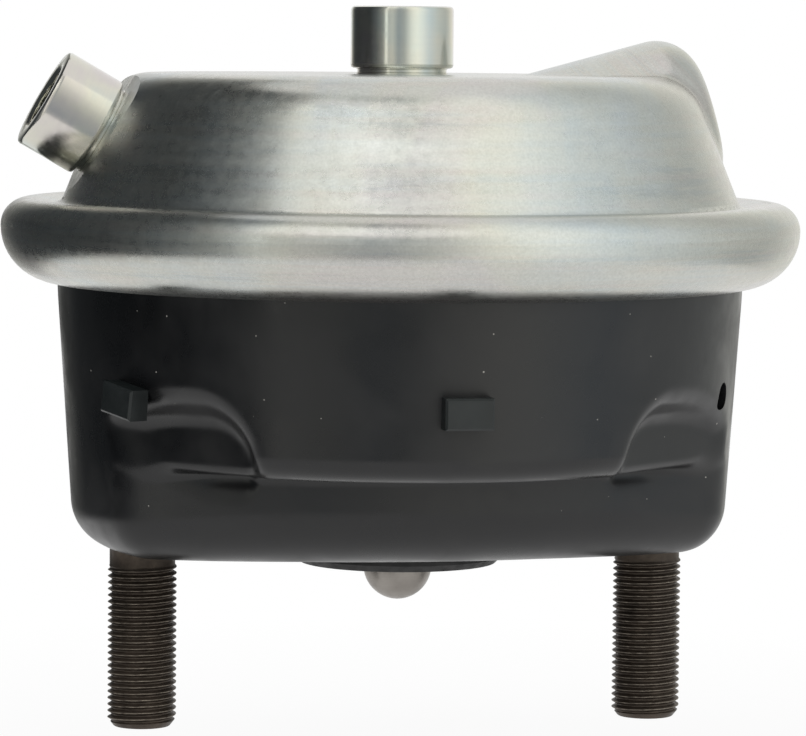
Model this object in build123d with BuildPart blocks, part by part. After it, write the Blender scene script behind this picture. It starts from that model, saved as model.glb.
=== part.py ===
from build123d import *
import os
from math import atan2, cos, degrees, pi, radians, sin, sqrt, tan

os.makedirs("parts", exist_ok=True)

# Service brake chamber for an air disc brake, in millimetres.
# Frame: origin on the mounting face, midway between the studs. +Z points up to the cover,
# the studs stand along X, and the front is -Y.

# ---- pressed sheets
cover_sheet = 3.0
housing_sheet = 3.0

# ---- pressure cover
cover_top = 110.0  # flat of the dome above the mounting face
flat_radius = 58.5
shoulder_radius = 12.5
dome_slope = 68.0  # dome wall from level, degrees
valley_radius = 2.5  # hollow between the dome and the rolled bead
air_hole_radius = 6.0  # below each port

# ---- rolled bead of the seam
bead_radius = 93.1  # widest point
seam_height = 74.5
bead_crest_radius = 6.3
bead_roll_radius = 13.1
bead_entry_angle = 105.0  # where the cover's flange meets the crest arc
lip_angle = -80.0  # where the rolled lip ends

# ---- nose pressed up from the cover, toward +X
nose_start = 29.0  # distance from the axis where it leaves the flat
nose_rise = 15.2  # slope of its ridge, degrees
nose_ridge_radius = 20.0
nose_crest_radius = 10.0
nose_face_slope = 74.0
nose_face_foot = 79.0  # its end face, at the foot of the dome
nose_blend = 5.0

# ---- ports, M16 x 1.5
port_thread = 16.0
port_bore = 7.19  # inner diameter of the thread, halved
boss_radius = 12.0
boss_length = 14.4
boss_edge = 0.8
neck_radius = 10.65
neck_length = 1.4
side_port_rise = 30.0  # axis above level
side_pad_radius = 70.1  # centre of the flat under the side boss, from the axis
side_pad_height = 96.4
side_flat_radius = 30.0  # reach of the press tool that flattens the dome there

# ---- lower housing
drum_top = 62.0  # just under the seam
drum_top_radius = 80.0  # outside, there
drum_draft = 3.8
flange_joint = 58.0  # the cup's wall ends here and its flange begins
flange_roll = 10.0  # flange's outer face, about the centre of the rolled bead
flange_end = -22.0  # angle where the flange ends
flange_bend = 1.5
flange_inner_bend = 2.2
step_height = 21.6  # underside of the drum, front and back of the foot
step_edge = 5.0
foot_half_width = 50.0
foot_side_radius = 150.0
foot_corner = 14.0
foot_edge = 11.0
foot_top = 28.0
foot_shoulder = 5.0
foot_opening_radius = 20.5

# ---- dimples pressed into the drum above the foot's corners
dimple_azimuth = 43.7  # from the front or the back
dimple_skew = -2.2  # all four are turned by this about the drum's axis
dimple_height = 21.7
dimple_floor = 71.0  # its flat floor, from the drum's axis
dimple_floor_radius = 12.0
dimple_slope = 35.0
dimple_reach = 14.0
dimple_hollow = 3.0
dimple_edge = 4.0

# ---- vent holes and their caps
vent_count = 6
vent_height = 37.5
vent_radius = 3.15
vent_blind = 70.0  # each is drilled in to here, well inside the wall
open_vent = 1  # counted from the front, toward +X
cap_width = 10.8
cap_height = 7.0
cap_depth = 4.2
cap_edge = 0.5
cap_twist = -9.0  # the front left cap sits askew
cap_face = 83.1  # its outer face, from the axis
cap_stem_end = 73.0
cap_fit = 0.02  # stem in its vent

# ---- studs, M16 x 1.5
stud_spacing = 120.65
stud_radius = 8.0
stud_shank_radius = 8.3  # where it is pressed into the plate and the foot
stud_length = 41.8  # beyond the mounting face
stud_point = 1.4
stud_head_radius = 11.5
stud_head_height = 6.0

# ---- plate inside the foot
plate_thickness = 5.0
plate_half_length = 72.0
plate_half_width = 37.0
plate_corner = 25.0
plate_clearance = 0.3  # it nests in the foot, following its inside corner
plate_opening_radius = 27.5

# ---- push rod and pressure plate
stroke = 57.0
rod_radius = 8.0
rod_tip = 13.0  # ball end beyond the mounting face at rest
rod_neck_radius = 6.0  # spigot through the pressure plate
rod_groove = 1.0  # for the boot's neck
disc_radius = 61.0
disc_sheet = 3.0
disc_edge = 8.0
disc_skirt = 9.0
collar_radius = 19.0
collar_height = 9.0
collar_sheet = 3.0

# ---- diaphragm
rubber = 3.0
diaphragm_gap = 0.5  # to the cover at rest
rim_inner_radius = 79.4
web_gap = 3.4  # between the diaphragm's wall and the cover
web_drop = 0.1  # the web leaves its rim this far below the seam's centre
web_bend = 2.0
web_shoulder = 9.0

# ---- spring
wire_radius = 2.75
spring_foot_radius = 38.6
spring_head_radius = 50.0
spring_turns = 5.0
wire_sides = 8  # the coil's section, as a polygon
wire_flat = 0.6  # ground off each end

# ---- boot and seal
boot_fold_room = 3.6  # height that one fold needs when the rod is fully out
boot_wall = 1.5
boot_outer_radius = 25.0
boot_inner_radius = 15.5
boot_neck_height = 91.0  # top of the boot's neck on the rod
boot_neck_length = 8.0
clip_wire = 0.9
seal_radius = 24.5
seal_depth = 4.0
seal_edge = 1.5
seal_mouth = 9.5
seal_flange = 1.5  # inside the housing's floor
seal_lip = 2.5  # the mouth's top, below the mounting face
retainer_thickness = 2.0
retainer_fit = 0.05


def drum_radius(height):
    """Outside radius of the drum's drafted wall."""
    return drum_top_radius - (drum_top - height) * tan(radians(drum_draft))


def dome_radius(height, inset=0.0):
    """Radius of the dome's straight wall, drawn in by inset square to the wall."""
    slope = radians(dome_slope)
    corner = flat_radius + shoulder_radius * tan(slope / 2)
    return corner + (cover_top - height) / tan(slope) - inset / sin(slope)


def nose_face_radius(height, inset=0.0):
    """Radius of the nose's end face."""
    slope = radians(nose_face_slope)
    return nose_face_foot - (height - dome_foot) / tan(slope) - inset / sin(slope)


def save(builder, name):
    """Label a finished piece and write it."""
    builder.part.label = name
    export_step(builder.part, f"parts/{name}.step")


# ---------------------------------------------------------------- pressure cover
crest_centre = bead_radius - bead_crest_radius
roll_centre = bead_radius - bead_roll_radius
entry = radians(bead_entry_angle)
entry_point = (
    crest_centre + bead_crest_radius * cos(entry),
    seam_height + bead_crest_radius * sin(entry),
)
entry_slope = tan(entry - radians(90))
# the dome's wall meets the line that rises into the bead
valley_height = entry_point[1]
for _ in range(20):
    valley_height = entry_point[1] - (entry_point[0] - dome_radius(valley_height)) * entry_slope
dome_foot = valley_height + 2.5  # the dome is cut from its rim here

top_seat = Plane.XY.offset(cover_top)
rise = radians(side_port_rise)
side_seat = Plane(origin=(-side_pad_radius, 0, side_pad_height), z_dir=(-cos(rise), 0, sin(rise)))


def dome_form(inset):
    """The dome as a solid, drawn in by inset: the outside with 0, the air space with the sheet."""
    top = cover_top - inset
    corner = dome_radius(top, inset)
    slant = radians(nose_rise)
    ridge_start = (
        Vector(nose_start, 0, cover_top)
        + Vector(sin(slant), 0, -cos(slant)) * nose_ridge_radius
        - Vector(cos(slant), 0, sin(slant)) * nose_ridge_radius
    )
    ridge_plane = Plane(
        origin=ridge_start, x_dir=(sin(slant), 0, -cos(slant)), z_dir=(cos(slant), 0, sin(slant))
    )
    face_top = cover_top + 20

    with BuildPart() as nose:
        with BuildSketch(ridge_plane):
            Circle(nose_ridge_radius - inset)
        extrude(amount=2 * nose_face_foot)
        with BuildSketch(Plane.YZ):
            with BuildLine():
                Polyline(
                    (0, dome_foot),
                    (nose_face_radius(dome_foot, inset), dome_foot),
                    (nose_face_radius(face_top, inset), face_top),
                    (0, face_top),
                    close=True,
                )
            make_face()
        revolve(axis=Axis.Z, mode=Mode.INTERSECT)
        crest = nose.edges().filter_by(lambda e: e.center().X > 40)
        fillet(crest.sort_by(Axis.Z)[-1], nose_crest_radius - inset)

    with BuildPart() as form:
        with BuildSketch(Plane.YZ):
            with BuildLine():
                FilletPolyline(
                    (0, dome_foot),
                    (dome_radius(dome_foot, inset), dome_foot),
                    (corner, top),
                    (0, top),
                    radius=[0, shoulder_radius - inset],
                )
                Line((0, top), (0, dome_foot))
            make_face()
        revolve(axis=Axis.Z)
        dome_edges = form.edges()
        add(nose.part)
        # the nose runs into the dome with a hollow blend
        creases = [e for e in form.edges() - dome_edges if e.bounding_box().size.Z > 3]
        fillet(creases, nose_blend + inset)
        # flat under the side port
        with BuildSketch(side_seat.offset(-inset)):
            Circle(side_flat_radius)
        extrude(amount=side_flat_radius, mode=Mode.SUBTRACT)
    return form.part


outside = dome_form(0)
air_space = dome_form(cover_sheet)

# the rim: dome foot, valley, crest and the lip rolled under the seam, as one bent sheet
with BuildPart() as rolled_rim:
    with BuildSketch(Plane.XZ):
        with BuildLine() as sheet_line:
            FilletPolyline(
                (dome_radius(dome_foot + cover_sheet), dome_foot + cover_sheet),
                (dome_radius(valley_height), valley_height),
                entry_point,
                radius=valley_radius,
            )
            CenterArc((crest_centre, seam_height), bead_crest_radius, bead_entry_angle, -bead_entry_angle)
            CenterArc((roll_centre, seam_height), bead_roll_radius, 0, lip_angle)
            offset(amount=cover_sheet, side=Side.RIGHT)
        make_face()
    revolve(axis=Axis.Z)
    split(bisect_by=Plane.XY.offset(dome_foot), keep=Keep.BOTTOM)

with BuildPart() as pressure_cover:
    add(outside)
    add(air_space, mode=Mode.SUBTRACT)
    add(rolled_rim.part)
    for seat in (top_seat, side_seat):
        with BuildSketch(seat):
            Circle(air_hole_radius)
        extrude(amount=-4 * cover_sheet, mode=Mode.SUBTRACT)
save(pressure_cover, "pressure_cover")


# ---------------------------------------------------------------- ports
def port_boss(seat, name):
    """Turned boss on a short welded neck, its bore at the thread's inner diameter."""
    with BuildPart() as boss:
        with BuildSketch(seat):
            Circle(neck_radius)
        extrude(amount=neck_length)
        with BuildSketch(seat.offset(neck_length)):
            Circle(boss_radius)
        extrude(amount=boss_length)
        rims = boss.edges().filter_by(lambda e: abs(e.length - 2 * pi * boss_radius) < 0.01)
        chamfer(rims, boss_edge)
        with BuildSketch(seat):
            Circle(port_bore)
        extrude(amount=neck_length + boss_length, mode=Mode.SUBTRACT)
        mouth = boss.edges().filter_by(lambda e: abs(e.length - 2 * pi * port_bore) < 0.01)
        top = seat.offset(neck_length + boss_length).origin
        chamfer(mouth.sort_by(lambda e: (e.center() - top).length)[0], port_thread / 2 - port_bore + 0.1)
    save(boss, name)


port_boss(top_seat, "top_port_boss")
port_boss(side_seat, "side_port_boss")


# ---------------------------------------------------------------- lower housing
def outward(turn):
    """Level direction at an angle from +X."""
    return Vector(cos(radians(turn)), sin(radians(turn)), 0)


def dimple_punch(turn, inset):
    """One round punch that dimples the drum, grown by the sheet for the inside of the wall."""
    floor = dimple_floor - inset
    floor_radius = dimple_floor_radius + inset * tan(radians(90 - dimple_slope) / 2)
    mouth_radius = floor_radius + (dimple_reach + inset) * tan(radians(dimple_slope))
    axis_plane = Plane(
        origin=(0, 0, dimple_height), x_dir=outward(turn), z_dir=outward(turn - 90)
    )
    with BuildPart() as punch:
        with BuildSketch(axis_plane):
            with BuildLine():
                FilletPolyline(
                    (floor, 0),
                    (floor, floor_radius),
                    (dimple_floor + dimple_reach, mouth_radius),
                    (dimple_floor + dimple_reach, 0),
                    radius=[dimple_hollow + inset, 0],
                )
                Line((dimple_floor + dimple_reach, 0), (floor, 0))
            make_face()
        revolve(axis=Axis((0, 0, dimple_height), outward(turn)))
    return punch.part


def vent_plane(number, radius, twist=0.0):
    """Plane across a vent's axis, facing out, with its x level before the twist."""
    turn = 360 / vent_count * number - 90
    return Plane(
        origin=outward(turn) * radius + Vector(0, 0, vent_height),
        x_dir=outward(turn + 90) * cos(radians(twist)) + Vector(0, 0, sin(radians(twist))),
        z_dir=outward(turn),
    )


def foot_form(inset):
    """The oblong foot as a solid: the drum's width along X, bulging sides front and back."""
    skew = inset / cos(radians(drum_draft))
    height = foot_top - inset
    with BuildPart() as foot:
        with BuildSketch(Plane.XY.offset(height)):
            Circle(drum_radius(height) - skew)
            reach = foot_side_radius + height * tan(radians(drum_draft)) - skew
            for side in (-1, 1):
                with Locations((0, side * (foot_side_radius - foot_half_width))):
                    Circle(reach, mode=Mode.INTERSECT)
            fillet(vertices(), foot_corner - inset)
        extrude(amount=inset - height, taper=drum_draft)
        fillet(foot.faces().sort_by(Axis.Z)[0].edges(), foot_edge - inset)
        fillet(foot.faces().sort_by(Axis.Z)[-1].edges(), foot_shoulder - inset)
    return foot.part


def outer_edge(edge, inset):
    """True for an edge that lies on the drum's wall all along, clear of its foot and top."""
    for place in (0.1, 0.3, 0.5, 0.7, 0.9):
        point = edge @ place
        radius = sqrt(point.X**2 + point.Y**2)
        wall = drum_radius(point.Z) - inset / cos(radians(drum_draft))
        if abs(radius - wall) > 0.02 or point.Z > flange_joint - 1:
            return False
    return True


def housing_form(inset):
    """The cup as a solid, drawn in by inset: the outside with 0, the hollow with the sheet."""
    skew = inset / cos(radians(drum_draft))
    floor = step_height + inset
    foot = foot_form(inset)
    punches = [
        dimple_punch(side + hand * dimple_azimuth + dimple_skew, inset)
        for side in (-90, 90)
        for hand in (-1, 1)
    ]
    with BuildPart() as form:
        with BuildSketch(Plane.XZ):
            with BuildLine():
                FilletPolyline(
                    (0, flange_joint),
                    (drum_radius(flange_joint) - skew, flange_joint),
                    (drum_radius(floor) - skew, floor),
                    (0, floor),
                    radius=[0, step_edge - inset],
                )
                Line((0, floor), (0, flange_joint))
            make_face()
        revolve(axis=Axis.Z)
        if inset == 0:
            for number in range(vent_count):
                with BuildSketch(vent_plane(number, vent_blind)):
                    Circle(vent_radius)
                extrude(amount=drum_top_radius - vent_blind + 5, mode=Mode.SUBTRACT)
        drum_edges = form.edges()
        add(punches, mode=Mode.SUBTRACT)
        rims = [e for e in form.edges() - drum_edges if outer_edge(e, inset)]
        fillet(rims, dimple_edge - inset)
        add(foot)
    return form.part


cup = housing_form(0)
hollow = housing_form(housing_sheet)


with BuildPart() as lower_housing:
    add(cup)
    add(hollow, mode=Mode.SUBTRACT)
    # upper wall and the flange that follows the inside of the rolled lip
    with BuildSketch(Plane.XZ):
        with BuildLine():
            inner = flange_roll - housing_sheet
            wall = drum_radius(flange_joint)
            skew = housing_sheet / cos(radians(drum_draft))
            root = seam_height - flange_roll
            Line((wall - skew, flange_joint), (wall, flange_joint))
            Line((wall, flange_joint), (roll_centre, root))
            lower = CenterArc((roll_centre, seam_height), flange_roll, -90, 90 + flange_end)
            upper = CenterArc((roll_centre, seam_height), inner, flange_end, -90 - flange_end)
            Line(lower @ 1, upper @ 0)
            Line(upper @ 1, (drum_radius(root) - skew, root + housing_sheet))
            Line((drum_radius(root) - skew, root + housing_sheet), (wall - skew, flange_joint))
        make_face()
        fillet(vertices().sort_by_distance((roll_centre, root))[0], flange_bend)
        fillet(
            vertices().sort_by_distance((drum_radius(root) - skew, root + housing_sheet))[0],
            flange_inner_bend,
        )
    revolve(axis=Axis.Z)
    # openings: push rod, studs, vents
    with BuildSketch(Plane.XY):
        Circle(foot_opening_radius)
        with Locations((-stud_spacing / 2, 0), (stud_spacing / 2, 0)):
            Circle(stud_shank_radius)
    extrude(amount=2 * housing_sheet, mode=Mode.SUBTRACT)
save(lower_housing, "lower_housing")


# ---------------------------------------------------------------- vent caps
caps = 0
for number in range(vent_count):
    if number == open_vent:
        continue
    caps += 1
    twist = cap_twist if number == vent_count - 1 else 0.0
    face = vent_plane(number, cap_face, twist)
    with BuildPart() as cap:
        with BuildSketch(face):
            Rectangle(cap_width, cap_height)
        extrude(amount=-2 * cap_depth)
        chamfer(cap.faces().sort_by(Axis((0, 0, 0), face.z_dir))[-1].edges(), cap_edge)
        # its back follows the drum
        with Locations((0, 0, vent_height)):
            Cone(
                drum_radius(vent_height - cap_width),
                drum_radius(vent_height + cap_width),
                2 * cap_width,
                mode=Mode.SUBTRACT,
            )
        with BuildSketch(face.offset(-cap_depth)):
            Circle(vent_radius - cap_fit)
        extrude(amount=cap_stem_end + cap_depth - cap_face)
    save(cap, f"drain_plug_{caps}")


# ---------------------------------------------------------------- studs and the plate inside the foot
plate_bottom = housing_sheet
plate_top = plate_bottom + plate_thickness
for name, place in (("stud_left", -stud_spacing / 2), ("stud_right", stud_spacing / 2)):
    with BuildPart() as stud:
        with BuildSketch(Plane.XY.offset(plate_top)):
            with Locations((place, 0)):
                Circle(stud_head_radius)
        extrude(amount=stud_head_height)
        chamfer(stud.edges().sort_by(Axis.Z)[-1], 1.0)
        with BuildSketch(Plane.XY.offset(plate_top)):
            with Locations((place, 0)):
                Circle(stud_shank_radius)
        extrude(amount=-plate_top)
        with BuildSketch(Plane.XY):
            with Locations((place, 0)):
                Circle(stud_radius)
        extrude(amount=-stud_length)
        chamfer(stud.edges().sort_by(Axis.Z)[0], stud_point)
    save(stud, name)

with BuildPart() as stud_plate:
    with Locations((0, 0, -plate_clearance)):
        add(foot_form(housing_sheet + plate_clearance))
    with BuildSketch(Plane.XY.offset(plate_bottom)):
        RectangleRounded(2 * plate_half_length, 2 * plate_half_width, plate_corner)
    extrude(amount=plate_thickness, mode=Mode.INTERSECT)
    with BuildSketch(Plane.XY.offset(plate_bottom)):
        Circle(plate_opening_radius)
        with Locations((-stud_spacing / 2, 0), (stud_spacing / 2, 0)):
            Circle(stud_shank_radius)
    extrude(amount=plate_thickness, mode=Mode.SUBTRACT)
save(stud_plate, "stud_plate")


# ---------------------------------------------------------------- diaphragm
disc_top = cover_top - cover_sheet - diaphragm_gap - rubber
disc_bottom = disc_top - disc_sheet
web_inset = cover_sheet + web_gap
web_top = disc_top + rubber
web_turn = seam_height - web_drop  # height where the web leaves its rim
inner_crest = bead_crest_radius - cover_sheet
rim_seat = flange_roll - housing_sheet


# the cover's flange clamps the rim from this corner inward
clamp_radius = crest_centre + inner_crest * cos(entry)
clamp_height = seam_height + inner_crest * sin(entry)
rim_top = clamp_height - (clamp_radius - rim_inner_radius) * entry_slope
with BuildPart() as diaphragm:
    with BuildSketch(Plane.XZ):
        with BuildLine():
            seat = CenterArc((roll_centre, seam_height), rim_seat, -90, 90 + flange_end)
            Polyline(
                seat @ 1,
                (clamp_radius, clamp_height),
                (rim_inner_radius, rim_top),
                (rim_inner_radius, seam_height - rim_seat),
                seat @ 0,
            )
        make_face()
    revolve(axis=Axis.Z)
    with BuildSketch(Plane.XZ):
        with BuildLine() as web_line:
            FilletPolyline(
                (rim_inner_radius + 1, web_turn),
                (dome_radius(web_turn, web_inset), web_turn),
                (dome_radius(web_top, web_inset), web_top),
                (1, web_top),
                radius=[web_bend, web_shoulder],
            )
            offset(amount=rubber, side=Side.LEFT)
        make_face()
    revolve(axis=Axis.Z)
    with BuildSketch(Plane.XY.offset(web_top)):
        Circle(2)
    extrude(amount=-rubber)
save(diaphragm, "diaphragm")


# ---------------------------------------------------------------- push rod body
with BuildPart() as pressure_plate:
    with BuildSketch(Plane.XZ):
        with BuildLine():
            FilletPolyline(
                (rod_neck_radius, disc_top),
                (disc_radius, disc_top),
                (disc_radius, disc_top - disc_edge - disc_skirt),
                radius=disc_edge,
            )
            offset(amount=disc_sheet, side=Side.RIGHT)
        make_face()
    revolve(axis=Axis.Z)
save(pressure_plate, "pressure_plate")

collar_bottom = disc_bottom - collar_height
with BuildPart() as rod_collar:
    with BuildSketch(Plane.XZ):
        with BuildLine():
            Polyline(
                (rod_radius, collar_bottom),
                (rod_radius + collar_sheet, collar_bottom),
                (rod_radius + collar_sheet, disc_bottom - collar_sheet),
                (collar_radius, disc_bottom - collar_sheet),
                (collar_radius, disc_bottom),
                (rod_radius, disc_bottom),
                close=True,
            )
        make_face()
    revolve(axis=Axis.Z)
save(rod_collar, "rod_collar")

ball_height = rod_radius - rod_tip
neck_top = boot_neck_height
neck_bottom = boot_neck_height - boot_neck_length
with BuildPart() as push_rod:
    with BuildSketch(Plane.XZ):
        with BuildLine():
            CenterArc((0, ball_height), rod_radius, -90, 90)
            Polyline(
                (rod_radius, ball_height),
                (rod_radius, neck_bottom),
                (rod_radius - rod_groove, neck_bottom),
                (rod_radius - rod_groove, neck_top),
                (rod_radius, neck_top),
                (rod_radius, disc_bottom),
                (rod_neck_radius, disc_bottom),
                (rod_neck_radius, disc_top),
                (0, disc_top),
                (0, ball_height - rod_radius),
            )
        make_face()
    revolve(axis=Axis.Z)
save(push_rod, "push_rod")


# ---------------------------------------------------------------- return spring
spring_height = disc_bottom - plate_top - 2 * (wire_radius - wire_flat)
lean = degrees(atan2(spring_head_radius - spring_foot_radius, spring_height))
with BuildPart() as return_spring:
    with BuildLine() as coil:
        Helix(
            spring_height / spring_turns,
            spring_height,
            spring_foot_radius,
            center=(0, 0, plate_top + wire_radius - wire_flat),
            cone_angle=lean,
        )
    with BuildSketch(Plane(origin=coil.line @ 0, z_dir=coil.line % 0)):
        RegularPolygon(wire_radius, wire_sides)
    sweep(is_frenet=True)
    with Locations((0, 0, plate_top)):
        Box(150, 150, 10, align=(Align.CENTER, Align.CENTER, Align.MAX), mode=Mode.SUBTRACT)
    with Locations((0, 0, disc_bottom)):
        Box(150, 150, 10, align=(Align.CENTER, Align.CENTER, Align.MIN), mode=Mode.SUBTRACT)
save(return_spring, "return_spring")


# ---------------------------------------------------------------- boot, its clip, the seal and their ring
flange_top = housing_sheet + seal_flange  # of the seal's inner flange, on the housing's floor
retainer_top = flange_top + retainer_thickness
with BuildPart() as face_seal:
    with BuildSketch(Plane.XZ):
        with BuildLine():
            Polyline(
                (seal_mouth, -seal_depth),
                (seal_radius - seal_edge, -seal_depth),
                (seal_radius, seal_edge - seal_depth),
                (seal_radius, 0),
                (foot_opening_radius, 0),
                (foot_opening_radius, housing_sheet),
                (seal_radius, housing_sheet),
                (seal_radius, flange_top),
                (boot_inner_radius, flange_top),
                (boot_inner_radius, 0),
                (seal_mouth, -seal_lip),
                close=True,
            )
        make_face()
    revolve(axis=Axis.Z)
save(face_seal, "face_seal")

with BuildPart() as boot_retainer:
    with BuildSketch(Plane.XY.offset(flange_top)):
        Circle(plate_opening_radius - retainer_fit)
        Circle(boot_inner_radius, mode=Mode.SUBTRACT)
    extrude(amount=retainer_thickness)
save(boot_retainer, "boot_retainer")

boot_foot = retainer_top + boot_wall
boot_folds = int((neck_bottom - boot_foot - stroke) / boot_fold_room)
fold = (neck_bottom - boot_foot) / boot_folds
pleat_depth = boot_outer_radius - boot_inner_radius
pleat_wall = boot_wall * sqrt(pleat_depth**2 + (fold / 2) ** 2) / (fold / 2)  # its wall, measured level
groove_radius = rod_radius - rod_groove
pleats = [(boot_inner_radius, boot_foot)]
for number in range(boot_folds):
    pleats.append((boot_outer_radius - pleat_wall, boot_foot + fold * (number + 0.5)))
    pleats.append((boot_inner_radius, boot_foot + fold * (number + 1)))
with BuildPart() as dust_boot:
    with BuildSketch(Plane.XZ):
        with BuildLine():
            Polyline(
                (boot_inner_radius, retainer_top),
                (boot_outer_radius, retainer_top),
                (boot_outer_radius, boot_foot),
                *[(radius + pleat_wall, height) for radius, height in pleats],
                (boot_inner_radius + pleat_wall, neck_bottom + boot_wall),
                (groove_radius + boot_wall, neck_bottom + boot_wall),
                (groove_radius + boot_wall, neck_top),
                (groove_radius, neck_top),
                (groove_radius, neck_bottom),
                *reversed(pleats),
                close=True,
            )
        make_face()
    revolve(axis=Axis.Z)
save(dust_boot, "dust_boot")

with BuildPart() as boot_clip:
    with BuildSketch(Plane.XZ):
        with Locations((groove_radius + boot_wall + clip_wire, (neck_bottom + neck_top) / 2)):
            Circle(clip_wire)
    revolve(axis=Axis.Z)
save(boot_clip, "boot_clip")
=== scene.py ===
from math import cos, pi, radians, sin, sqrt, tan

import bpy
import numpy as np
from mathutils import Matrix, Vector


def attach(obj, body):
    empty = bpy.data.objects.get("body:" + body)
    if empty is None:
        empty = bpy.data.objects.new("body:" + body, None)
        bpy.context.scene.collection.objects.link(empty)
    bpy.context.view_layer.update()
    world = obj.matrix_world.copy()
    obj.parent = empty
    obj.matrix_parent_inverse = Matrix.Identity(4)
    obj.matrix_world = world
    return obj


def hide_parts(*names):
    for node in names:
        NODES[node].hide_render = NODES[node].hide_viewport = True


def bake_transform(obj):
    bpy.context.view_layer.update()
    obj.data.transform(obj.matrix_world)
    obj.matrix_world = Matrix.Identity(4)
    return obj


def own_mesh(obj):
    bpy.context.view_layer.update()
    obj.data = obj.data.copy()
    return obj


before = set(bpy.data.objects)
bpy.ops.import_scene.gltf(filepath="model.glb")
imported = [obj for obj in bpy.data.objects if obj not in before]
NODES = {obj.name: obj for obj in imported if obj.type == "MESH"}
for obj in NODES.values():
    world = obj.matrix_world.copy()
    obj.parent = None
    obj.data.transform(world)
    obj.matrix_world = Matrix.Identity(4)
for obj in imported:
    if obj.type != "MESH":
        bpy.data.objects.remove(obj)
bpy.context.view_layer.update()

MM = 0.001
scene = bpy.context.scene
scene.view_settings.view_transform = "Standard"


# ---------------------------------------------------------------- camera
def make_camera():
    """The photograph's viewing angle: a little to the left of the front and a little above the seam."""
    turn = radians(10.8)
    pitch = radians(4.34)
    roll = radians(0.53)
    distance, height, shift = 1.0245, 0.1191, 0.0009
    ahead = Vector((sin(turn), cos(turn), 0))
    right = Vector((cos(turn), -sin(turn), 0))
    place = -ahead * distance + right * shift + Vector((0, 0, height))
    look = ahead * cos(pitch) - Vector((0, 0, sin(pitch)))
    up = right.cross(look)
    side = right * cos(roll) + up * sin(roll)
    top = up * cos(roll) - right * sin(roll)
    data = bpy.data.cameras.new("camera")
    sensor_mm, focal_px, photo_width_px = 36, 4386, 806
    data.sensor_width = sensor_mm
    data.sensor_fit = "HORIZONTAL"
    data.lens = focal_px / photo_width_px * sensor_mm
    data.clip_end = 20
    camera = bpy.data.objects.new("camera", data)
    matrix = Matrix((side, top, -look)).transposed().to_4x4()
    matrix.translation = place
    camera.matrix_world = matrix
    scene.collection.objects.link(camera)
    scene.camera = camera
    return ahead, right


AHEAD, RIGHT = make_camera()


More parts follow.
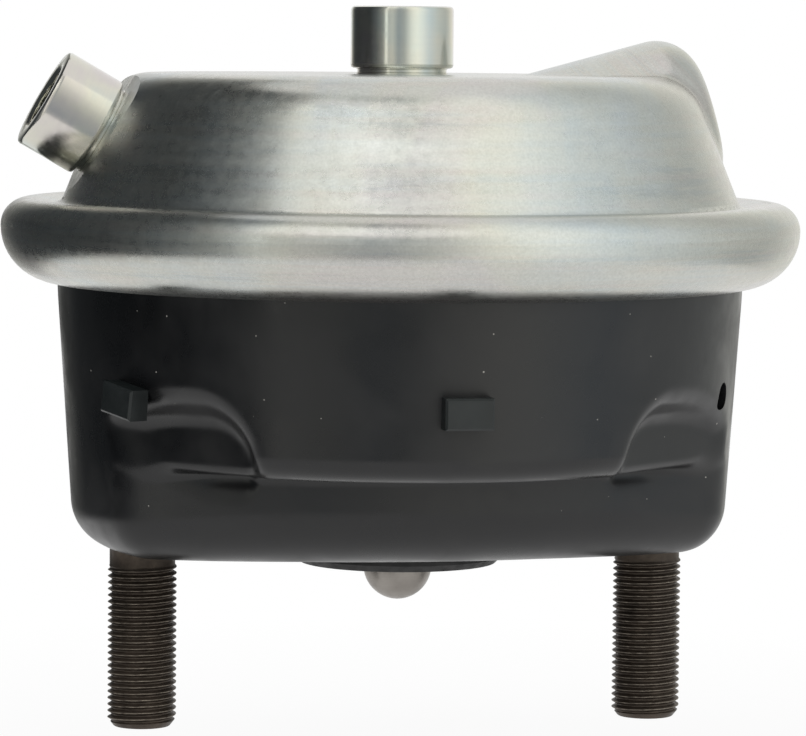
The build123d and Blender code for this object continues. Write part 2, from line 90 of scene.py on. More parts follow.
# ---------------------------------------------------------------- materials
class Graph:
    """A material and short ways to add its nodes."""

    def __init__(self, name, **values):
        self.material = bpy.data.materials.new(name)
        self.material.use_nodes = True
        self.tree = self.material.node_tree
        self.shader = self.tree.nodes["Principled BSDF"]
        for socket, value in values.items():
            self.shader.inputs[socket.replace("_", " ")].default_value = value
        self.coords = self.add("ShaderNodeTexCoord").outputs["Object"]

    def add(self, kind, **properties):
        node = self.tree.nodes.new(kind)
        for key, value in properties.items():
            setattr(node, key, value)
        return node

    def feed(self, socket, value):
        """Links a socket's output, or sets a constant."""
        if isinstance(value, bpy.types.NodeSocket):
            self.tree.links.new(value, socket)
        else:
            socket.default_value = value

    def math(self, operation, a, b=0.0):
        node = self.add("ShaderNodeMath", operation=operation)
        for socket, value in zip(node.inputs, (a, b)):
            self.feed(socket, value)
        return node.outputs[0]

    def dot(self, axis, origin=(0, 0, 0)):
        """Distance along axis from origin."""
        away = self.add("ShaderNodeVectorMath", operation="SUBTRACT")
        self.feed(away.inputs[0], self.coords)
        away.inputs[1].default_value = origin
        node = self.add("ShaderNodeVectorMath", operation="DOT_PRODUCT")
        self.feed(node.inputs[0], away.outputs[0])
        node.inputs[1].default_value = axis
        return node.outputs["Value"]

    def radius(self, place=(0, 0, 0)):
        """Distance from an upright axis through place."""
        x = self.dot((1, 0, 0), place)
        y = self.dot((0, 1, 0), place)
        return self.math("SQRT", self.math("ADD", self.math("MULTIPLY", x, x), self.math("MULTIPLY", y, y)))

    def turn(self):
        """Angle about the vertical axis."""
        return self.math("ARCTAN2", self.dot((0, 1, 0)), self.dot((1, 0, 0)))

    def combine(self, x, y, z):
        node = self.add("ShaderNodeCombineXYZ")
        for socket, value in zip(node.inputs, (x, y, z)):
            self.feed(socket, value)
        return node.outputs[0]

    def noise(self, scale, vector=None, detail=3.0, rough=0.5, distortion=0.0):
        node = self.add("ShaderNodeTexNoise")
        self.feed(node.inputs["Vector"], self.coords if vector is None else vector)
        node.inputs["Scale"].default_value = scale
        node.inputs["Detail"].default_value = detail
        node.inputs["Roughness"].default_value = rough
        node.inputs["Distortion"].default_value = distortion
        return node.outputs["Fac"]

    def cells(self, scale):
        node = self.add("ShaderNodeTexVoronoi")
        self.feed(node.inputs["Vector"], self.coords)
        node.inputs["Scale"].default_value = scale
        return node.outputs["Distance"], node.outputs["Color"]

    def ramp(self, value, *stops):
        """Colour by value, from (place, colour) stops."""
        node = self.add("ShaderNodeValToRGB")
        self.feed(node.inputs[0], value)
        ramp = node.color_ramp
        while len(ramp.elements) < len(stops):
            ramp.elements.new(0.5)
        for element, (place, colour) in zip(ramp.elements, stops):
            element.position = place
            element.color = (*colour, 1)
        return node.outputs[0]

    def span(self, value, low, high, new_low=0.0, new_high=1.0):
        """Value from low to high, brought to new_low to new_high and held there beyond."""
        node = self.add("ShaderNodeMapRange")
        for socket, number in zip(node.inputs, (value, low, high, new_low, new_high)):
            self.feed(socket, number)
        return node.outputs[0]

    def mix(self, factor, a, b, blend="MIX"):
        node = self.add("ShaderNodeMix", data_type="RGBA", blend_type=blend)
        self.feed(node.inputs[0], factor)
        for socket, value in ((node.inputs[6], a), (node.inputs[7], b)):
            self.feed(socket, (*value, 1) if isinstance(value, tuple) else value)
        return node.outputs[2]

    def bump(self, height, strength, distance, below=None):
        node = self.add("ShaderNodeBump")
        self.feed(node.inputs["Height"], height)
        node.inputs["Strength"].default_value = strength
        node.inputs["Distance"].default_value = distance
        if below is not None:
            self.feed(node.inputs["Normal"], below)
        return node.outputs[0]

    def finish(self, **sockets):
        for socket, value in sockets.items():
            self.feed(self.shader.inputs[socket.replace("_", " ")], value)
        return self.material


def zinc_sheet():
    """Zinc plate with a pale passivated film, over deep-drawn sheet."""
    g = Graph("zinc_sheet", Metallic=1.0)
    turn = g.turn()
    level = g.math("ADD", g.radius(), g.dot((0, 0, 1)))
    film = g.noise(16, g.combine(g.math("MULTIPLY", turn, 0.12), g.radius(), g.dot((0, 0, 1))), 4, 0.55, 0.6)
    colour = g.ramp(
        film,
        (0.30, (0.515, 0.555, 0.575)),
        (0.42, (0.545, 0.565, 0.53)),
        (0.50, (0.58, 0.57, 0.505)),
        (0.58, (0.57, 0.54, 0.52)),
        (0.70, (0.53, 0.56, 0.525)),
    )
    hue = g.noise(900, g.combine(g.math("MULTIPLY", turn, 0.0015), 0.0, level), 2, 0.5)
    lines = g.ramp(hue, (0.35, (0.52, 0.57, 0.61)), (0.5, (0.57, 0.57, 0.53)), (0.65, (0.61, 0.53, 0.515)))
    colour = g.mix(0.28, colour, lines)
    streaks = g.noise(200, g.combine(g.math("MULTIPLY", turn, 0.005), 0.0, level), 6, 0.68)
    colour = g.mix(g.span(streaks, 0.35, 0.65, 0.0, 0.55), colour, (0.66, 0.67, 0.63))
    colour = g.mix(g.span(streaks, 0.42, 0.28, 0.0, 0.5), colour, (0.40, 0.43, 0.45))
    grain = g.noise(1700, detail=2)
    colour = g.mix(g.span(grain, 0.3, 0.75, 0.0, 0.3), colour, (0.55, 0.56, 0.55), "MULTIPLY")
    rough = g.span(g.noise(420, detail=2), 0.3, 0.7, 0.26, 0.33)
    rough = g.math("ADD", rough, g.span(streaks, 0.3, 0.7, -0.07, 0.06))
    normal = g.bump(grain, 0.16, 0.00004)
    normal = g.bump(streaks, 0.30, 0.00006, normal)
    return g.finish(Base_Color=colour, Roughness=rough, Normal=normal)


def zinc_turned(name, axis, origin):
    """Turned steel with the same plating: fine rings square to the boss's axis."""
    g = Graph(name, Metallic=1.0)
    along = g.dot(axis, origin)
    rings = g.noise(2600, g.combine(along, 0.0, 0.0), 4, 0.7)
    film = g.noise(70, detail=3)
    colour = g.ramp(film, (0.35, (0.60, 0.64, 0.59)), (0.5, (0.68, 0.66, 0.57)), (0.65, (0.64, 0.59, 0.57)))
    colour = g.mix(g.span(rings, 0.3, 0.7, 0.0, 0.4), colour, (0.55, 0.56, 0.53))
    rough = g.span(g.noise(600, detail=3), 0.3, 0.7, 0.12, 0.19)
    normal = g.bump(rings, 0.12, 0.00002)
    return g.finish(Base_Color=colour, Roughness=rough, Normal=normal)


def black_paint():
    """Black coat on pressed steel: satin, with rubbed places, finger marks and dust."""
    g = Graph("black_paint", Metallic=0.0, Specular_IOR_Level=0.5)
    smears = g.noise(46, detail=3, rough=0.5, distortion=0.4)
    fine = g.noise(230, detail=4, rough=0.6)
    colour = g.ramp(
        smears,
        (0.3, (0.0035, 0.0037, 0.0043)),
        (0.55, (0.0065, 0.0065, 0.007)),
        (0.75, (0.013, 0.0127, 0.0123)),
    )
    near, tint = g.cells(520)
    pick = g.add("ShaderNodeSeparateColor")
    g.feed(pick.inputs[0], tint)
    rare = g.math("GREATER_THAN", pick.outputs[0], g.span(g.noise(30), 0.35, 0.65, 0.985, 0.90))
    speck = g.math("MULTIPLY", rare, g.math("LESS_THAN", near, g.math("MULTIPLY", pick.outputs[1], 0.12)))
    colour = g.mix(g.math("MULTIPLY", speck, 0.55), colour, (0.55, 0.53, 0.48))
    rough = g.math("ADD", g.span(smears, 0.35, 0.68, 0.26, 0.44), g.span(fine, 0.3, 0.7, -0.03, 0.04))
    normal = g.bump(g.noise(520, detail=2), 0.10, 0.0001)
    normal = g.bump(g.noise(2400, detail=2), 0.08, 0.00003, normal)
    return g.finish(Base_Color=colour, Roughness=rough, Normal=normal)


def phosphate(name, place):
    """Blackened stud: dark oxide in the thread's roots, rubbed steel on its crests."""
    g = Graph(name, Metallic=0.75)
    out = g.radius(place)
    patches = g.noise(160, detail=4, rough=0.6)
    dark = g.ramp(patches, (0.3, (0.048, 0.038, 0.030)), (0.7, (0.095, 0.074, 0.057)))
    pale = g.ramp(g.noise(900, detail=3), (0.3, (0.12, 0.10, 0.082)), (0.7, (0.30, 0.26, 0.21)))
    at_crest = g.span(out, 0.00782, 0.00799)
    below_shank = g.span(g.dot((0, 0, 1)), -0.0045, -0.0052)
    crest = g.math("MULTIPLY", at_crest, below_shank)
    colour = g.mix(crest, dark, pale)
    rough = g.span(g.noise(700, detail=3), 0.3, 0.7, 0.38, 0.60)
    normal = g.bump(g.noise(1500, detail=3), 0.25, 0.00006)
    return g.finish(Base_Color=colour, Roughness=rough, Normal=normal)


def bare_steel(name, low, high, rings=1500, rough_low=0.22, rough_high=0.4):
    """Machined or pressed steel with rings about the vertical axis."""
    g = Graph(name, Metallic=1.0)
    level = g.math("ADD", g.radius(), g.dot((0, 0, 1)))
    lines = g.noise(rings, g.combine(level, 0.0, 0.0), 4, 0.65)
    blotch = g.noise(120, detail=4)
    colour = g.ramp(blotch, (0.3, low), (0.7, high))
    colour = g.mix(g.span(lines, 0.35, 0.65, 0.0, 0.35), colour, low)
    rough = g.span(g.noise(500, detail=3), 0.3, 0.7, rough_low, rough_high)
    normal = g.bump(lines, 0.4, 0.00005)
    return g.finish(Base_Color=colour, Roughness=rough, Normal=normal)


def dull(name, low, high, rough_low, rough_high, grain, depth):
    """Rubber or moulded plastic."""
    g = Graph(name, Metallic=0.0, Specular_IOR_Level=0.45)
    colour = g.ramp(g.noise(150, detail=4), (0.3, low), (0.7, high))
    rough = g.span(g.noise(400, detail=3), 0.3, 0.7, rough_low, rough_high)
    normal = g.bump(g.noise(grain, detail=3), 0.3, depth)
    return g.finish(Base_Color=colour, Roughness=rough, Normal=normal)


STUD_SPACING = 120.65  # mm, as the lengths below
STUD_X = 0.5 * STUD_SPACING * MM
THREAD_RADIUS, THREAD_PITCH = 8.0, 1.5
SIDE_RISE = radians(30)
SIDE_AXIS = Vector((-cos(SIDE_RISE), 0, sin(SIDE_RISE)))
SIDE_SEAT = Vector((-70.1 * MM, 0, 96.4 * MM))
TOP_SEAT = Vector((0, 0, 110 * MM))

sheet = zinc_sheet()
top_turned = zinc_turned("zinc_turned_top", (0, 0, 1), TOP_SEAT)
side_turned = zinc_turned("zinc_turned_side", SIDE_AXIS, SIDE_SEAT)
paint = black_paint()
left_phosphate = phosphate("phosphate_left", (-STUD_X, 0, 0))
right_phosphate = phosphate("phosphate_right", (STUD_X, 0, 0))
turned = bare_steel("turned_steel", (0.24, 0.22, 0.20), (0.40, 0.375, 0.345), 2400, 0.30, 0.46)
plain = bare_steel("plain_steel", (0.40, 0.40, 0.39), (0.56, 0.56, 0.55), 700, 0.30, 0.5)
spring_wire = bare_steel("spring_steel", (0.16, 0.16, 0.17), (0.30, 0.30, 0.31), 900, 0.3, 0.45)
rubber = dull("rubber", (0.008, 0.008, 0.008), (0.020, 0.020, 0.020), 0.50, 0.72, 1200, 0.00008)
diaphragm_rubber = dull("diaphragm_rubber", (0.012, 0.012, 0.012), (0.028, 0.027, 0.026), 0.55, 0.8, 2600, 0.0001)
plastic = dull("black_plastic", (0.006, 0.0085, 0.0088), (0.012, 0.0155, 0.016), 0.36, 0.5, 1600, 0.00005)

PAINTS = {
    "pressure_cover": sheet,
    "top_port_boss": top_turned,
    "side_port_boss": side_turned,
    "lower_housing": paint,
    "stud_left": left_phosphate,
    "stud_right": right_phosphate,
    "stud_plate": plain,
    "diaphragm": diaphragm_rubber,
    "return_spring": spring_wire,
    "dust_boot": rubber,
    "boot_retainer": plain,
    "face_seal": rubber,
    "push_rod": turned,
    "pressure_plate": plain,
    "rod_collar": plain,
    "boot_clip": spring_wire,
}
for node, cad in NODES.items():
    finish = PAINTS.get(node, plastic)
    cad.data.materials.clear()
    cad.data.materials.append(finish)


# ---------------------------------------------------------------- meshes
def mesh_object(name, points, faces, material, body, smooth=True, angle=None):
    """A mesh in the scene with its material, riding a body where one is given; edges past angle stay sharp."""
    mesh = bpy.data.meshes.new(name)
    mesh.from_pydata([tuple(p) for p in points], [], faces)
    mesh.materials.append(material)
    mesh.validate()
    if smooth:
        mesh.polygons.foreach_set("use_smooth", [True] * len(mesh.polygons))
    if angle is not None:
        mesh.set_sharp_from_angle(angle=radians(angle))
    mesh.update()
    obj = bpy.data.objects.new(name, mesh)
    scene.collection.objects.link(obj)
    if body:
        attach(obj, body)
    return obj


def grid_faces(rows, around, closed=False):
    """Quads between rows of a turned form, each row a ring of points."""
    faces = []
    for i in range(rows if closed else rows - 1):
        low, high = i * around, (i + 1) % rows * around
        for j in range(around):
            k = (j + 1) % around
            faces.append((low + j, low + k, high + k, high + j))
    return faces


def thread_depth(turns, depth):
    """Depth of a metric thread below its crest, from the height in pitches."""
    phase = turns % 1.0
    rise = np.abs(phase - 0.5) * 2  # 1 at the crest's middle, 0 at the root's
    return depth * (1 - np.clip((rise - 0.22) / 0.68, 0, 1))


def stud(name, place, material):
    """Stud with its M16 x 1.5 thread cut, a plain shank under the foot, and its head inside."""
    around = 64
    tip, bare, chamfer = -41.8, -4.3, 1.5
    shank, fit, head, pole = 7.62, 8.3, 11.5, 0.02
    seat, top, edge = 8, 14, 1
    heights = np.arange(tip, bare + 1e-6, THREAD_PITCH / 12)
    rows = [(pole, tip + 0.25, False), (6.0, tip + 0.22, False), (6.4, tip, False)]
    rows += [(THREAD_RADIUS, z, True) for z in heights[1:]]
    rows += [(shank, bare + 0.3, False), (shank, -0.3, False), (7.75, 0, False)]
    rows += [(fit, 0.01, False), (fit, seat - 0.01, False)]
    rows += [(head, seat, False), (head, top - edge, False), (head - edge, top, False), (pole, top, False)]
    angles = np.arange(around) / around * 2 * pi
    points = []
    for radius, z, cut in rows:
        ring = np.full(around, float(radius))
        if cut:
            crest = min(THREAD_RADIUS, THREAD_RADIUS - chamfer + (z - tip) * 0.8)
            fade = np.clip((bare + 0.2 - z) / 1.0, 0.4, 1)
            depth = thread_depth(z / THREAD_PITCH - angles / (2 * pi), 0.88) * fade
            ring = np.minimum(THREAD_RADIUS - depth, crest)
        points += [((place / MM + r * cos(a)) * MM, r * sin(a) * MM, z * MM) for r, a in zip(ring, angles)]
    faces = grid_faces(len(rows), around)
    faces.append(tuple(reversed(range(around))))
    last = (len(rows) - 1) * around
    faces.append(tuple(last + j for j in range(around)))
    obj = mesh_object(name + "_threaded", points, faces, material, "housing", angle=40)
    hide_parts(name)


def boss(name, seat, axis, material):
    """Port boss: turned outside with relieved edges, collar at its weld, thread cut inside."""
    around = 96
    neck, length, edge = 1.4, 15.8, 0.8
    outer, collar, groove, minor, cut_depth = 12.0, 10.65, 10.45, 7.19, 0.81
    profile = [
        (minor, 0.0), (collar, 0.0), (collar, 0.35), (groove, 0.5), (groove, 1.1), (collar, 1.25), (collar, neck),
        (outer - edge, neck), (11.8, neck + 0.25), (outer, neck + edge), (outer, neck + edge + 0.3),
        (outer, 8.0), (outer, length - edge - 0.3), (outer, length - edge), (11.76, length - 0.25),
        (outer - edge, length), (8.6, length), (8.1, length - 0.12),
    ]
    rows = [(r, h, False) for r, h in profile]
    heights = np.arange(length - 0.7, 0.6, -THREAD_PITCH / 12)
    rows += [(THREAD_RADIUS, h, True) for h in heights]
    rows += [(minor, 0.4, False)]
    x_dir = Vector((0, 1, 0)).cross(axis).normalized()
    y_dir = axis.cross(x_dir)
    angles = np.arange(around) / around * 2 * pi
    points = []
    for radius, h, cut in rows:
        ring = np.full(around, float(radius))
        if cut:
            depth = thread_depth(h / THREAD_PITCH - angles / (2 * pi) + 0.5, cut_depth)
            mouth = 8.05
            flare = max(0.0, mouth - (length - 0.12 - h))
            fade = np.clip((h - 0.4) / 0.6, 0, 1)
            ring = np.maximum(minor + (cut_depth - depth) * fade, min(flare, mouth))
        for r, a in zip(ring, angles):
            spot = seat + (x_dir * (r * cos(a)) + y_dir * (r * sin(a)) + axis * h) * MM
            points.append(tuple(spot))
    faces = grid_faces(len(rows), around, closed=True)
    obj = mesh_object(name + "_turned", points, faces, material, "housing", angle=35)
    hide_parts(name)


stud("stud_left", -STUD_X, left_phosphate)
stud("stud_right", STUD_X, right_phosphate)
boss("top_port_boss", TOP_SEAT, Vector((0, 0, 1)), top_turned)
boss("side_port_boss", SIDE_SEAT, SIDE_AXIS, side_turned)


# ---------------------------------------------------------------- lower housing, one smooth pressing
DRAFT = radians(3.8)
DRUM_RADIUS, DRUM_TOP = 80.0, 62.0
HUB = 45.0  # height on the axis that cast looks out from


def rounded(a, b, radius, c):
    """Both distances at once, their edge rounded; c is the cosine between the two faces' normals."""
    high_a, high_b = a + radius, b + radius
    across = np.sqrt(np.maximum(high_a**2 + high_b**2 - 2 * c * high_a * high_b, 0) / (1 - c * c)) - radius
    return np.where((high_a - c * high_b > 0) & (high_b - c * high_a > 0), across, np.maximum(a, b))


def soft_step(value, low, high):
    """From 0 at low to 1 at high, level at both ends."""
    t = np.clip((value - low) / (high - low), 0, 1)
    return t * t * (3 - 2 * t)


def drum_radius(z):
    """Outside radius of the drafted wall at height z."""
    return DRUM_RADIUS - (DRUM_TOP - z) * tan(DRAFT)


def housing_distance(x, y, z):
    """Signed distance in mm, near enough, to the outside of the pressed cup."""
    drum_floor, drum_round = 21.6, 6.0
    punch_reach, punch_radius, punch_level, punch_taper = 71.0, 12.0, 21.7, radians(35)
    arc_centre, arc_radius = 101.5, 150.0
    side = (np.hypot(x, y) - drum_radius(z)) * cos(DRAFT)
    drum = rounded(side, drum_floor - z, drum_round, sin(DRAFT))
    from_front = np.degrees(np.arctan2(np.abs(x), np.abs(y)))
    for middle in (-90, 90):
        for hand in (-1, 1):
            turn = radians(middle + hand * 43.7 - 2.2)
            reach = x * cos(turn) + y * sin(turn)
            beside = (y * cos(turn) - x * sin(turn)) * hand
            inner = np.minimum(beside, 0) + 0.42 * np.maximum(beside - 5, 0)
            spread = np.hypot(inner, z - punch_level)
            floor = punch_reach - reach
            wall = (spread - punch_radius - (reach - punch_reach) * tan(punch_taper)) * cos(punch_taper)
            punch = rounded(floor, wall, 5.0, sin(punch_taper))
            drum = np.where(reach > 40, rounded(drum, -punch, 6.0, 0.57), drum)
    arcs = np.maximum(np.hypot(x, y - arc_centre), np.hypot(x, y + arc_centre)) - (arc_radius + z * tan(DRAFT))
    plan = rounded(arcs, side, 14.0, 0.82)
    edge = 11.0 + 3.0 * (1 - soft_step(from_front, 35, 70))
    foot = rounded(plan, -z, edge, sin(DRAFT))
    top = 38.0 - 15.0 * soft_step(from_front, 36, 45) + np.clip(from_front - 51, 0, 60) * 0.62
    foot = rounded(foot, (z - top) * 0.85, 9.0, 0.1)
    joined = -rounded(-drum, -foot, 3.2, 0.0)
    return np.maximum(joined, side)


def cast(rows, around, low, high, inset):
    """Where rays from inside the cup meet its surface, drawn in by inset: rows of (out, z) by azimuth."""
    nearest, furthest, halvings = 15.0, 130.0, 26
    turn = np.arange(around) / around * 2 * pi
    rise = np.linspace(low, high, rows)[:, None]
    flat, climb = np.cos(rise), np.sin(rise)
    near = np.full((rows, around), nearest)
    far = np.full((rows, around), furthest)
    for _ in range(halvings):
        middle = 0.5 * (near + far)
        out = middle * flat
        inside = housing_distance(out * np.cos(turn), out * np.sin(turn), HUB + middle * climb) + inset < 0
        near, far = np.where(inside, middle, near), np.where(inside, far, middle)
    return near * flat, HUB + near * climb


def lower_housing():
    """The cup's outside and inside, joined by its flange, with the studs' holes and the open vent cut."""
    around = 400
    sheet_mm, hole, joint, seam = 3.0, 20.5, 58.0, 74.5
    bead_outer, bead_inner = 10, 7
    stud_hole, vent_hole, vent_out, vent_height = 8.3, 3.15, 0.0765, 0.0375
    wall = drum_radius(joint)
    skew = sheet_mm / cos(DRAFT)
    out, level = cast(230, around, np.arctan2(-HUB, hole), np.arctan2(joint - HUB, wall), 0.0)
    back, lift = cast(110, around, np.arctan2(sheet_mm - HUB, hole), np.arctan2(joint - HUB, wall - skew), sheet_mm)
    rows = list(zip(out, level))
    flange = [(79.95, 63.2), (80.15, 64.0), (80.7, 64.4)]
    for size, degrees in ((bead_outer, range(-82, -21, 5)), (bead_inner, range(-22, -91, -8))):
        flange += [(DRUM_RADIUS + size * cos(radians(a)), seam + size * sin(radians(a))) for a in degrees]
    flange += [(78.4, 67.4), (77.5, 66.6), (77.1, 65.2)]
    rows += [(np.full(around, o), np.full(around, z)) for o, z in flange]
    rows += list(zip(back[::-1], lift[::-1]))
    turn = np.arange(around) / around * 2 * pi
    points = []
    for o, z in rows:
        points += list(zip(o * np.cos(turn) * MM, o * np.sin(turn) * MM, z * MM))
    obj = mesh_object("lower_housing_pressing", points, grid_faces(len(rows), around, True), paint, None)
    cutters = []
    vent = radians(-30)
    spots = [((hand * STUD_X, 0, 0.002), (0, 0, 1), stud_hole, 12) for hand in (-1, 1)]
    vent_place = (vent_out * cos(vent), vent_out * sin(vent), vent_height)
    spots.append((vent_place, (cos(vent), sin(vent), 0), vent_hole, 14))
    for place, axis, radius, length in spots:
        turned = Vector(axis).to_track_quat("Z", "Y").to_matrix().to_4x4()
        turned.translation = place
        ring = [(radius * cos(2 * pi * k / 64), radius * sin(2 * pi * k / 64)) for k in range(64)]
        ends = [turned @ Vector((a * MM, b * MM, h * length * MM)) for h in (-0.5, 0.5) for a, b in ring]
        sides = grid_faces(2, 64) + [tuple(reversed(range(64))), tuple(range(64, 128))]
        cutter = mesh_object("cutter", ends, sides, paint, None)
        cutters.append(cutter)
        cut = obj.modifiers.new("hole", "BOOLEAN")
        cut.operation, cut.solver, cut.object = "DIFFERENCE", "EXACT", cutter
    mesh = bpy.data.meshes.new_from_object(obj.evaluated_get(bpy.context.evaluated_depsgraph_get()))
    obj.modifiers.clear()
    obj.data = mesh
    for cutter in cutters:
        bpy.data.objects.remove(cutter)
    mesh.polygons.foreach_set("use_smooth", [True] * len(mesh.polygons))
    mesh.set_sharp_from_angle(angle=radians(38))
    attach(obj, "housing")
    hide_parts("lower_housing")


lower_housing()


# ---------------------------------------------------------------- soft pieces and the spring inside
def diaphragm():
    """A copy of the rubber diaphragm's mesh, its place baked in."""
    cad = NODES["diaphragm"]
    mesh = cad.data.copy()
    obj = bpy.data.objects.new("diaphragm_sheet", mesh)
    scene.collection.objects.link(obj)
    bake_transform(obj)
    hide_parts("diaphragm")


def spring():
    """Conical coil of round wire, its end turns ground flat."""
    plate_top, disc_bottom = 8.0, 100.5
    wire, flat = 2.75, 0.6
    foot, head, turns = 38.6, 50.0, 5.0
    low, high = plate_top + wire - flat, disc_bottom - wire + flat
    steps, sides = 360, 16
    points = []
    for i in range(steps + 1):
        t = i / steps
        angle = t * turns * 2 * pi
        radius = foot + (head - foot) * t
        out = Vector((cos(angle), sin(angle), 0))
        centre = out * radius + Vector((0, 0, low + (high - low) * t))
        along = Vector((-sin(angle), cos(angle), 0)) * radius * turns * 2 * pi + Vector((0, 0, high - low))
        up = along.normalized().cross(out).normalized() * -1
        for k in range(sides):
            a = 2 * pi * k / sides
            spot = centre + (out * cos(a) + up * sin(a)) * wire
            spot.z = min(max(spot.z, plate_top + 0.02), disc_bottom - 0.02)
            points.append(tuple(spot * MM))
    faces = grid_faces(steps + 1, sides)
    faces.append(tuple(reversed(range(sides))))
    last = steps * sides
    faces.append(tuple(last + k for k in range(sides)))
    obj = mesh_object("return_spring_coil", points, faces, spring_wire, "housing")
    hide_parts("return_spring")
    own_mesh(obj)


def revolved(profile, around):
    """Rings of points about the vertical axis, one for each (radius, height) in mm."""
    points = []
    for r, z in profile:
        for j in range(around):
            a = 2 * pi * j / around
            points.append((r * cos(a) * MM, r * sin(a) * MM, z * MM))
    return points


def boot():
    """Pleated boot round the rod: the pleats stay with the housing, the neck stays on the rod."""
    foot_level, foot_top, neck_low, neck_high = 6.5, 8.0, 83.0, 91.0
    inner, outer, wall, folds, groove = 15.5, 25.0, 1.5, 5, 7.0
    fold = (neck_low - foot_top) / folds
    steps, around, clearance = 60, 72, 0.05
    outside, inside = [], []
    for i in range(steps + 1):
        t = i / steps
        z = foot_top + (neck_low - foot_top) * t
        wave = 0.5 - 0.5 * cos(2 * pi * folds * t)
        middle = inner + wall / 2 + (outer - inner - wall) * wave
        slope = (outer - inner - wall) * 0.5 * 2 * pi * folds * sin(2 * pi * folds * t) / (neck_low - foot_top)
        lean = sqrt(1 + slope * slope)
        outside.append((middle + 0.5 * wall / lean, z - 0.5 * wall * slope / lean))
        inside.append((middle - 0.5 * wall / lean, z + 0.5 * wall * slope / lean))
    outside = [(outer, foot_level), (outer, foot_top)] + outside[1:]
    lip = groove + wall + clearance
    profile = outside + [(lip, neck_low + wall), (lip, neck_low)]
    profile += list(reversed(inside)) + [(inner, foot_level)]
    faces = grid_faces(len(profile), around, True)
    obj = mesh_object("dust_boot_pleats", revolved(profile, around), faces, rubber, "housing")
    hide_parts("dust_boot")
    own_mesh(obj)
    edge = 0.4
    neck = [(groove, neck_low), (groove + wall, neck_low), (groove + wall, neck_high - edge)]
    neck += [(groove + wall - edge, neck_high), (groove, neck_high)]
    faces = grid_faces(len(neck), around, True)
    points = revolved(neck, around)
    sleeve = mesh_object("dust_boot_neck", points, faces, rubber, "push_rod_body", angle=40)
    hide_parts("dust_boot")


diaphragm()
spring()
boot()


# ---------------------------------------------------------------- floor, background and light
def pale_where_seen(tree, pale, plain_shader, share):
    """Mixes a white glow into a shader for rays that see it straight or in a reflection."""
    path = tree.nodes.new("ShaderNodeLightPath")
    seen = tree.nodes.new("ShaderNodeMath")
    seen.operation = "MAXIMUM"
    tree.links.new(path.outputs["Is Camera Ray"], seen.inputs[0])
    tree.links.new(path.outputs["Is Glossy Ray"], seen.inputs[1])
    clear = tree.nodes.new("ShaderNodeMath")
    clear.operation = "MAXIMUM"
    tree.links.new(seen.outputs[0], clear.inputs[0])
    tree.links.new(path.outputs["Is Transmission Ray"], clear.inputs[1])
    part = tree.nodes.new("ShaderNodeMath")
    part.operation = "MULTIPLY"
    tree.links.new(clear.outputs[0], part.inputs[0])
    if isinstance(share, float):
        part.inputs[1].default_value = share
    else:
        tree.links.new(share, part.inputs[1])
    mix = tree.nodes.new("ShaderNodeMixShader")
    tree.links.new(part.outputs[0], mix.inputs[0])
    tree.links.new(plain_shader, mix.inputs[1])
    tree.links.new(pale, mix.inputs[2])
    return mix.outputs[0]


def make_floor():
    """Floor below the full stroke: white where it is seen, with the object's shadow kept near the middle."""
    reach, level = 4.0, -71.5 * MM
    points = [(-reach, -reach, level), (reach, -reach, level), (reach, reach, level), (-reach, reach, level)]
    g = Graph("floor", Base_Color=(0.86, 0.86, 0.86, 1), Roughness=0.9, Specular_IOR_Level=0.1)
    floor = mesh_object("floor", points, [(0, 1, 2, 3)], g.material, None, smooth=False)
    tree, shader = g.tree, g.shader
    share = g.span(g.radius(), 0.10, 0.40, 0.88, 1.0)
    glow = tree.nodes.new("ShaderNodeEmission")
    glow.inputs[0].default_value = (1, 1, 1, 1)
    glow.inputs[1].default_value = 1.0
    out = pale_where_seen(tree, glow.outputs[0], shader.outputs[0], share)
    tree.links.new(out, tree.nodes["Material Output"].inputs[0])


def make_world():
    """White background where it is seen, and a plain even light elsewhere."""
    world = bpy.data.worlds.new("world")
    world.use_nodes = True
    tree = world.node_tree
    ambient = tree.nodes["Background"]
    ambient.inputs[0].default_value = (1, 1, 1, 1)
    ambient.inputs[1].default_value = 0.55
    pale = tree.nodes.new("ShaderNodeBackground")
    pale.inputs[0].default_value = (1, 1, 1, 1)
    pale.inputs[1].default_value = 1.0
    out = pale_where_seen(tree, pale.outputs[0], ambient.outputs[0], 1.0)
    tree.links.new(out, tree.nodes["World Output"].inputs[0])
    scene.world = world


def aim(place, target):
    """Turns -Z from place towards target."""
    return (Vector(target) - Vector(place)).to_track_quat("-Z", "Y").to_matrix().to_4x4()


def from_camera(side, back, up):
    """A place in metres: to the camera's right, towards the camera, and up."""
    return RIGHT * side - AHEAD * back + Vector((0, 0, up))


def lamp(name, place, size, power, target=(0, 0, 0.05)):
    """Rectangular lamp at place, turned towards target."""
    data = bpy.data.lights.new(name, "AREA")
    data.shape = "RECTANGLE"
    data.size, data.size_y = size
    data.energy = power
    obj = bpy.data.objects.new(name, data)
    matrix = aim(place, target)
    matrix.translation = place
    obj.matrix_world = matrix
    scene.collection.objects.link(obj)


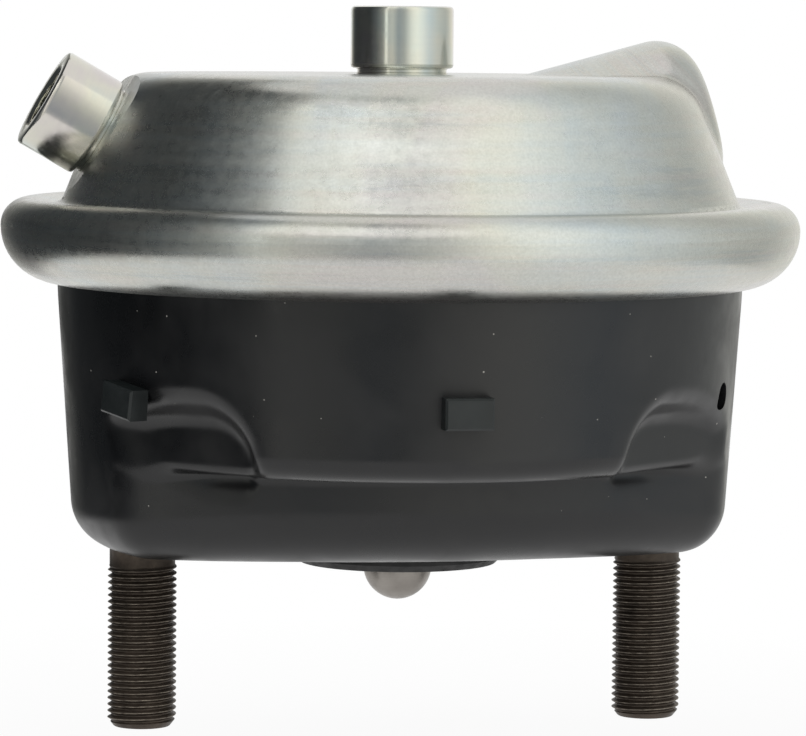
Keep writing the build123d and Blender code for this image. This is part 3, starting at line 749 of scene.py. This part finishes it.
def make_tent():
    """The studio in front of the object, seen only in reflections: a dark corner to the left, a narrow
    strip light left of the camera, a wide softbox to its right, and grey beyond. Open at the back.

    Each stop is (degrees to the camera's right, brightness, tint)."""
    radius, level = 0.34, -71 * MM
    wide, rows, columns = radians(150), 24, 72
    points = []
    for i in range(rows + 1):
        lift = radians(74) * i / rows
        for j in range(columns + 1):
            turn = -wide + 2 * wide * j / columns
            out = RIGHT * sin(turn) - AHEAD * cos(turn)
            points.append(out * radius * cos(lift) + Vector((0, 0, level + radius * sin(lift))))
    faces = []
    for i in range(rows):
        for j in range(columns):
            k = i * (columns + 1) + j
            faces.append((k, k + 1, k + columns + 2, k + columns + 1))
    g = Graph("tent")
    side, front = g.dot(tuple(RIGHT)), g.dot(tuple(-AHEAD))
    turn = g.span(g.math("ARCTAN2", side, front), -pi, pi)
    cool, grey, warm = (0.84, 0.93, 1.0), (0.97, 1.0, 0.985), (1.0, 0.995, 0.93)
    stops = [
        (-180, 0.70, warm), (-150, 0.30, warm), (-132, 0.035, cool), (-74, 0.033, cool), (-58, 0.085, cool),
        (-42, 0.20, grey), (-38.5, 0.27, grey), (-36.5, 0.80, warm), (-33, 0.80, warm), (-31, 0.34, grey),
        (-22, 0.46, warm), (-8, 0.28, cool), (6, 0.34, grey), (22, 0.70, warm), (34, 0.78, warm),
        (46, 0.70, grey), (62, 0.56, cool), (85, 0.46, grey), (112, 0.38, grey), (146, 0.60, warm),
        (180, 0.70, warm),
    ]
    shades = [((degree + 180) / 360, tuple(shade * part for part in tint)) for degree, shade, tint in stops]
    bright = g.ramp(turn, *shades)
    low = g.span(turn, 0.22, 0.36, 0.84, 0.97)
    cloud = g.span(g.noise(16, detail=2, rough=0.5), 0.35, 0.65, low, g.math("SUBTRACT", 2.0, low))
    lift = g.span(g.dot((0, 0, 1)), -0.03, 0.26, 1.18, 1.22)
    strength = g.math("MULTIPLY", cloud, g.math("MULTIPLY", lift, 1.35))
    glow = g.add("ShaderNodeEmission")
    g.feed(glow.inputs[0], bright)
    g.feed(glow.inputs[1], strength)
    g.tree.links.new(glow.outputs[0], g.tree.nodes["Material Output"].inputs[0])
    obj = mesh_object("tent", points, faces, g.material, None)
    for kind in ("camera", "diffuse", "shadow", "transmission", "volume_scatter"):
        setattr(obj, "visible_" + kind, False)


make_floor()
make_world()
lamp("key", from_camera(-0.25, 1.1, 1.3), (0.9, 0.5), 9)
lamp("fill", from_camera(1.4, 0.8, 0.5), (0.6, 1.0), 5)
make_tent()
